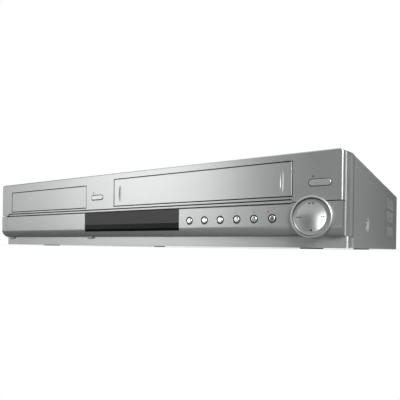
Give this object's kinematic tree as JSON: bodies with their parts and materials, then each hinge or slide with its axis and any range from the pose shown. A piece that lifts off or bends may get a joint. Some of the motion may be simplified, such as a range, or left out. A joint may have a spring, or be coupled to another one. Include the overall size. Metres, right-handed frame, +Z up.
{
  "type": "disc and cassette combination player",
  "caption": "Low, wide home player with a disc tray, a cassette door, a smoked display window, round keys, a large round control and a fold-down flap.",
  "frame": {"origin": "centre of the outline, on the plane the feet stand on", "axes": "+X to the right seen from the front, +Y to the back, +Z up"},
  "size_m": [0.43, 0.335, 0.0758],
  "materials": {
    "steel_paint": "satin",
    "zinc": "satin",
    "silver_plastic": "satin",
    "dark_silver": "satin",
    "window": "gloss",
    "bright": "gloss",
    "rubber": "matte",
    "black_plastic": "matte",
    "grey_plastic": "matte",
    "white_plastic": "matte",
    "steel": "satin",
    "nickel": "gloss",
    "board": "satin",
    "drum": "satin",
    "display": "gloss",
    "core": "satin",
    "brown_board": "satin"
  },
  "bodies": {
    "case": {"base_pan": "zinc", "top_cover": "steel_paint", "rear_panel": "zinc", "feet": "rubber", "case_screws": "steel", "plinth": "silver_plastic", "upper_fascia": "silver_plastic", "lower_fascia": "silver_plastic", "front_frame": "silver_plastic", "trim_rib": "silver_plastic", "display_window": "window", "front_av_sockets": "black_plastic", "dial_ring": "bright", "loader_frame": "grey_plastic", "loading_motor": "steel", "tray_belt": "rubber", "clamp_bridge": "steel", "deck_plate": "zinc", "lower_drum": "drum", "cassette_brackets": "zinc", "display_module": "display", "key_board": "brown_board", "main_board": "board", "power_board": "brown_board", "transformer": "core", "tuner_module": "zinc", "phono_sockets": "black_plastic", "aerial_sockets": "nickel", "power_inlet": "black_plastic"},
    "tray": {"disc_tray": "black_plastic", "tray_door": "silver_plastic"},
    "tray_gear": {"tray_gear": "white_plastic"},
    "motor_pulley": {"motor_pulley": "white_plastic"},
    "traverse": {"traverse_plate": "steel"},
    "sled": {"pickup_sled": "black_plastic"},
    "sled_screw": {"sled_screw": "steel"},
    "turntable": {"turntable": "black_plastic"},
    "puck": {"clamp_puck": "white_plastic"},
    "cassette_door": {"cassette_door": "silver_plastic"},
    "carriage": {"cassette_carriage": "steel"},
    "holder": {"cassette_holder": "steel"},
    "drum": {"upper_drum": "drum"},
    "capstan": {"capstan": "steel"},
    "pinch_arm": {"pinch_arm": "steel"},
    "pinch_roller": {"pinch_roller": "rubber"},
    "supply_reel": {"supply_reel": "white_plastic"},
    "take_up_reel": {"take_up_reel": "white_plastic"},
    "supply_guide": {"supply_guide": "steel"},
    "take_up_guide": {"take_up_guide": "steel"},
    "flap": {"av_flap": "silver_plastic"},
    "pad_carrier": {"pad_carrier": "grey_plastic"},
    "dial_pad": {"dial_pad": "silver_plastic"},
    "disc_eject": {"disc_eject_button": "silver_plastic"},
    "tape_eject": {"tape_eject_button": "silver_plastic"},
    "button_1": {"function_button_1": "bright"},
    "button_2": {"function_button_2": "bright"},
    "button_3": {"function_button_3": "bright"},
    "button_4": {"function_button_4": "bright"},
    "button_5": {"function_button_5": "bright"},
    "button_6": {"function_button_6": "bright"}
  },
  "joints": [
    {"name": "tray_slide", "type": "slide", "parent": "case", "child": "tray", "axis": [0, -1, 0], "range_m": [0, 0.14]},
    {"name": "tray_gear_spin", "type": "hinge", "parent": "case", "child": "tray_gear", "pos_m": [-0.1671, -0.133, 0.0408], "axis": [0, 0, 1], "range_deg": [-5, 810]},
    {"name": "motor_pulley_spin", "type": "hinge", "parent": "case", "child": "motor_pulley", "pos_m": [-0.1131, -0.133, 0.0298], "axis": [0, 0, 1], "range_deg": [-20, 2700]},
    {"name": "traverse_tilt", "type": "hinge", "parent": "case", "child": "traverse", "pos_m": [-0.1251, 0.023, 0.03155], "axis": [1, 0, 0], "range_deg": [0, 4]},
    {"name": "turntable_spin", "type": "hinge", "parent": "traverse", "child": "turntable", "pos_m": [-0.1251, -0.086, 0.0508], "axis": [0, 0, 1], "continuous": true},
    {"name": "clamp_puck_spin", "type": "hinge", "parent": "case", "child": "puck", "pos_m": [-0.1251, -0.086, 0.0568], "axis": [0, 0, 1], "continuous": true},
    {"name": "sled_slide", "type": "slide", "parent": "traverse", "child": "sled", "axis": [0, 1, 0], "range_m": [0, 0.036]},
    {"name": "sled_screw_spin", "type": "hinge", "parent": "traverse", "child": "sled_screw", "pos_m": [-0.1651, -0.029, 0.0388], "axis": [0, 1, 0], "range_deg": [-5, 2200]},
    {"name": "cassette_door_hinge", "type": "hinge", "parent": "case", "child": "cassette_door", "pos_m": [0.0776, -0.1599, 0.0721], "axis": [1, 0, 0], "range_deg": [0, 90], "stiffness_Nm_per_rad": 0.02, "springref_deg": -17.19},
    {"name": "carriage_slide", "type": "slide", "parent": "case", "child": "carriage", "axis": [0, 1, 0], "range_m": [0, 0.04]},
    {"name": "holder_lower", "type": "slide", "parent": "carriage", "child": "holder", "axis": [0, 0, -1], "range_m": [0, 0.014]},
    {"name": "drum_spin", "type": "hinge", "parent": "case", "child": "drum", "pos_m": [0.0776, 0.014, 0.0458], "axis": [0, 0, 1], "continuous": true},
    {"name": "capstan_spin", "type": "hinge", "parent": "case", "child": "capstan", "pos_m": [0.1316, -0.014, 0.0258], "axis": [0, 0, 1], "continuous": true},
    {"name": "supply_reel_spin", "type": "hinge", "parent": "case", "child": "supply_reel", "pos_m": [0.0316, -0.071, 0.0258], "axis": [0, 0, 1], "continuous": true},
    {"name": "take_up_reel_spin", "type": "hinge", "parent": "case", "child": "take_up_reel", "pos_m": [0.1236, -0.071, 0.0258], "axis": [0, 0, 1], "continuous": true},
    {"name": "pinch_arm_swing", "type": "hinge", "parent": "case", "child": "pinch_arm", "pos_m": [0.1596, -0.004, 0.0268], "axis": [0, 0, 1], "range_deg": [0, 21]},
    {"name": "pinch_roller_spin", "type": "hinge", "parent": "pinch_arm", "child": "pinch_roller", "pos_m": [0.1358, 0.0038, 0.0368], "axis": [0, 0, 1], "continuous": true},
    {"name": "supply_guide_slide", "type": "slide", "parent": "case", "child": "supply_guide", "axis": [-0.2912, 0.9567, 0], "range_m": [0, 0.046]},
    {"name": "take_up_guide_slide", "type": "slide", "parent": "case", "child": "take_up_guide", "axis": [0.2912, 0.9567, 0], "range_m": [0, 0.046]},
    {"name": "flap_hinge", "type": "hinge", "parent": "case", "child": "flap", "pos_m": [-0.131, -0.1562, 0.0095], "axis": [1, 0, 0], "range_deg": [0, 85]},
    {"name": "pad_tilt_sideways", "type": "hinge", "parent": "case", "child": "pad_carrier", "pos_m": [0.1887, -0.1572, 0.0246], "axis": [0, 0, 1], "range_deg": [-2, 2], "stiffness_Nm_per_rad": 0.6},
    {"name": "pad_tilt_upright", "type": "hinge", "parent": "pad_carrier", "child": "dial_pad", "pos_m": [0.1887, -0.1572, 0.0246], "axis": [1, 0, 0], "range_deg": [-2, 2], "stiffness_Nm_per_rad": 0.6},
    {"name": "button_1_press", "type": "slide", "parent": "case", "child": "button_1", "axis": [0, 1, 0], "range_m": [0, 0.0008], "stiffness_N_per_m": 700},
    {"name": "button_2_press", "type": "slide", "parent": "case", "child": "button_2", "axis": [0, 1, 0], "range_m": [0, 0.0008], "stiffness_N_per_m": 700},
    {"name": "button_3_press", "type": "slide", "parent": "case", "child": "button_3", "axis": [0, 1, 0], "range_m": [0, 0.0008], "stiffness_N_per_m": 700},
    {"name": "button_4_press", "type": "slide", "parent": "case", "child": "button_4", "axis": [0, 1, 0], "range_m": [0, 0.0008], "stiffness_N_per_m": 700},
    {"name": "button_5_press", "type": "slide", "parent": "case", "child": "button_5", "axis": [0, 1, 0], "range_m": [0, 0.0008], "stiffness_N_per_m": 700},
    {"name": "button_6_press", "type": "slide", "parent": "case", "child": "button_6", "axis": [0, 1, 0], "range_m": [0, 0.0008], "stiffness_N_per_m": 700},
    {"name": "disc_eject_press", "type": "slide", "parent": "case", "child": "disc_eject", "axis": [0, 1, 0], "range_m": [0, 0.0008], "stiffness_N_per_m": 700},
    {"name": "tape_eject_press", "type": "slide", "parent": "case", "child": "tape_eject", "axis": [0, 1, 0], "range_m": [0, 0.0008], "stiffness_N_per_m": 700}
  ],
  "couplings": [
    {"joint": "tray_gear_spin", "follows": "tray_slide", "rad_per_m": 100},
    {"joint": "motor_pulley_spin", "follows": "tray_slide", "rad_per_m": 333.33},
    {"joint": "sled_screw_spin", "follows": "sled_slide", "rad_per_m": 1047.2},
    {"joint": "take_up_guide_slide", "follows": "supply_guide_slide", "ratio": 1}
  ]
}
